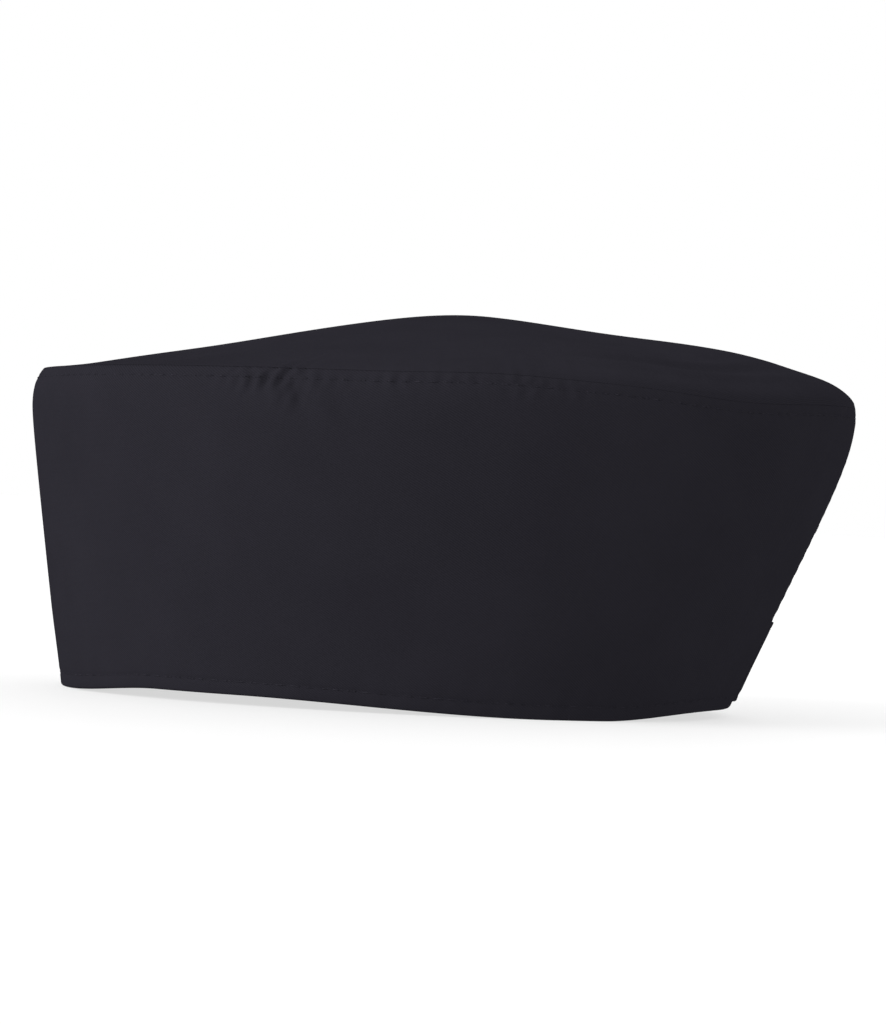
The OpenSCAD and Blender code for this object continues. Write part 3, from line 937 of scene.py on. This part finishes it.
def label_skins(u_range, drop, depth, curl):
    """A satin label that hangs down the lining and stands off it a little towards its lower edge."""
    u, down = np.meshgrid(np.linspace(*u_range, 28), np.linspace(0, 1, 34), indexing="ij")
    z = LABEL_TOP - down * drop
    side = (u - u_range[0]) / (u_range[1] - u_range[0]) - 0.5
    off = -curl * (0.5 * down ** 2 + 0.45 * np.sin(down * 5.1 + 0.6) * side * down)
    t = z / BAND_HEIGHT
    return band(u, t, depth + off), band(u, t, depth + off - LABEL_THICK), u, z


def build_labels():
    """A care label, a size label in front of it, and the row that sews both in."""
    size_u = (LABEL_U[0] + 0.07, LABEL_U[1] - 0.07)
    for name, node, u_range, width, drop, depth, curl in (
            ("care_label_satin", "care_label", LABEL_U, 0.028, 42.0, LABEL_DEPTH, 1.0),
            ("size_label_satin", "size_label", size_u, 0.0125, 14.0, LABEL_DEPTH - 0.62, 0.3)):
        outer, inner, u, z = label_skins(u_range, drop, depth, curl)
        points, faces = slab(outer, inner)
        faces = faces[:, ::-1]
        weave = weave_of(u * INNER_WEAVE, z)
        piece = add_mesh(name, points, faces, weave, [node], "care_label")
        dress(piece, "label")
    ends = (LABEL_U[0] + 0.012, LABEL_U[1] - 0.012)
    row = level_row(LABEL_TOP - 1.2, LABEL_DEPTH - 0.95, *ends, sign=-1.0, pitch=SMALL_PITCH)
    sew("label_stitches", "label_stitch", [row], "care_label")


build_band()
build_crown()
build_sweatband()
build_binding()
build_stitches()
build_tapes()
build_strap()
build_strap_trim()
build_hook_tape()
build_labels()


# ---- Studio, in metres ------------------------------------------------------

FLOOR_REACH = 40.0
FLOOR_GREY, FLOOR_GLOW = 0.24, 0.66
SUNS = (("key", -63, 22, 2.8, 40), ("back_fill", 155, 20, 1.3, 70))  # azimuth, height, strength, spread
CAMERA_PLACE = (1.2, 0.00076, 0.05794)
CAMERA_ROLL = math.radians(2.8)
CAMERA_LENS = 138.5


def build_stage():
    """Wide pale floor, partly lit from within like a light table, which keeps the shadows soft."""
    corners = [(FLOOR_REACH * x, FLOOR_REACH * y, 0) for x, y in ((-1, -1), (1, -1), (1, 1), (-1, 1))]
    mesh = bpy.data.meshes.new("floor")
    mesh.from_pydata(corners, [], [(0, 1, 2, 3)])
    floor = bpy.data.objects.new("floor", mesh)
    bpy.context.scene.collection.objects.link(floor)
    paint = bpy.data.materials.new("floor_paint")
    paint.use_nodes = True
    shader = paint.node_tree.nodes["Principled BSDF"]
    shader.inputs["Base Color"].default_value = (FLOOR_GREY, FLOOR_GREY, FLOOR_GREY, 1)
    shader.inputs["Emission Color"].default_value = (1, 1, 1, 1)
    shader.inputs["Emission Strength"].default_value = FLOOR_GLOW
    shader.inputs["Roughness"].default_value = 0.9
    shader.inputs["Specular IOR Level"].default_value = 0.1
    floor.data.materials.append(paint)


def build_lights():
    """Even white light all round, a broad light from the hat's front left and a weaker one from behind."""
    world = bpy.data.worlds.new("studio")
    world.use_nodes = True
    world.node_tree.nodes["Background"].inputs["Color"].default_value = (1, 1, 1, 1)
    world.node_tree.nodes["Background"].inputs["Strength"].default_value = 1.0
    bpy.context.scene.world = world
    for name, azimuth, height, energy, spread in SUNS:
        data = bpy.data.lights.new(name, "SUN")
        data.energy = energy
        data.angle = math.radians(spread)
        lamp = bpy.data.objects.new(name, data)
        azimuth, height = math.radians(azimuth), math.radians(height)
        level = math.cos(height)
        toward = Vector((math.cos(azimuth) * level, math.sin(azimuth) * level, math.sin(height)))
        lamp.location = toward
        lamp.rotation_mode = "QUATERNION"
        lamp.rotation_quaternion = toward.to_track_quat("Z", "Y")
        bpy.context.scene.collection.objects.link(lamp)


def build_camera():
    """Level camera at the hat's left side, 1.2 m away, turned a little about its own axis."""
    data = bpy.data.cameras.new("camera")
    data.sensor_width = 36
    data.lens = CAMERA_LENS
    camera = bpy.data.objects.new("camera", data)
    right = Vector((0, math.cos(CAMERA_ROLL), math.sin(CAMERA_ROLL)))
    up = Vector((0, -math.sin(CAMERA_ROLL), math.cos(CAMERA_ROLL)))
    away = Vector((1, 0, 0))
    turn = Matrix((right, up, away)).transposed().to_4x4()
    camera.matrix_world = Matrix.Translation(CAMERA_PLACE) @ turn
    bpy.context.scene.collection.objects.link(camera)
    bpy.context.scene.camera = camera


build_stage()
build_lights()
build_camera()
bpy.context.scene.view_settings.view_transform = "Standard"

bpy.context.view_layer.update()
